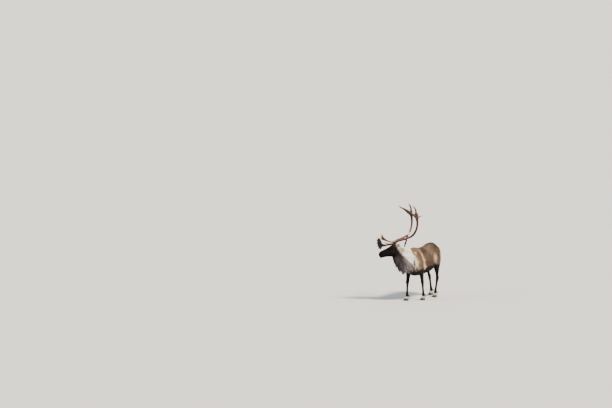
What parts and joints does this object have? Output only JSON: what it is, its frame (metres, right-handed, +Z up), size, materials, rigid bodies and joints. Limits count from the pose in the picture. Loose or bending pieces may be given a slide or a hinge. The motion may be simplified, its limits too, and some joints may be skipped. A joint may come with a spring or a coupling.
{
  "type": "reindeer",
  "caption": "Life-size bull reindeer standing in mid stride, head turned to its right, with tall swept antlers and a pale throat mane.",
  "frame": {"origin": "on the floor, under the middle of the box round the whole animal", "axes": "+Z up; the body runs along Y with its rump towards +Y and its chest towards -Y, so its left side is towards +X"},
  "size_m": [1.0536, 1.8776, 2.1884],
  "materials": {
    "brown_coat": "dense matt hair, grey-brown",
    "dark_coat": "short matt hair, near black",
    "pale_coat": "long matt hair, cream white",
    "hoof_horn": "worn dark horn",
    "antler_bone": "freshly bared bone, stained red-brown, paler at the points",
    "shed_velvet": "dried shred of velvet skin",
    "eye": "wet, dark brown"
  },
  "bodies": {
    "root": {"antler_left_beam_lower": "antler_bone", "antler_left_beam_upper": "antler_bone", "antler_left_bez": "antler_bone", "antler_left_brow": "antler_bone", "antler_left_crown_back": "antler_bone", "antler_left_crown_front": "antler_bone", "antler_left_crown_top": "antler_bone", "antler_right_beam_lower": "antler_bone", "antler_right_beam_upper": "antler_bone", "antler_right_bez": "antler_bone", "antler_right_brow": "antler_bone", "antler_right_crown_back": "antler_bone", "antler_right_crown_front": "antler_bone", "antler_right_crown_top": "antler_bone", "antler_right_rear": "antler_bone", "ear_left": "pale_coat", "ear_right": "pale_coat", "eye_left": "eye", "eye_right": "eye", "fore_left_claw_left": "hoof_horn", "fore_left_claw_right": "hoof_horn", "fore_left_dewclaw_left": "hoof_horn", "fore_left_dewclaw_right": "hoof_horn", "fore_left_lower": "dark_coat", "fore_left_upper": "dark_coat", "fore_right_claw_left": "hoof_horn", "fore_right_claw_right": "hoof_horn", "fore_right_dewclaw_left": "hoof_horn", "fore_right_dewclaw_right": "hoof_horn", "fore_right_lower": "dark_coat", "fore_right_upper": "dark_coat", "head": "dark_coat", "hind_left_claw_left": "hoof_horn", "hind_left_claw_right": "hoof_horn", "hind_left_dewclaw_left": "hoof_horn", "hind_left_dewclaw_right": "hoof_horn", "hind_left_lower": "dark_coat", "hind_left_upper": "dark_coat", "hind_right_claw_left": "hoof_horn", "hind_right_claw_right": "hoof_horn", "hind_right_dewclaw_left": "hoof_horn", "hind_right_dewclaw_right": "hoof_horn", "hind_right_lower": "dark_coat", "hind_right_upper": "dark_coat", "neck": "pale_coat", "tail": "pale_coat", "torso": "brown_coat", "velvet_strip": "shed_velvet"}
  },
  "joints": []
}
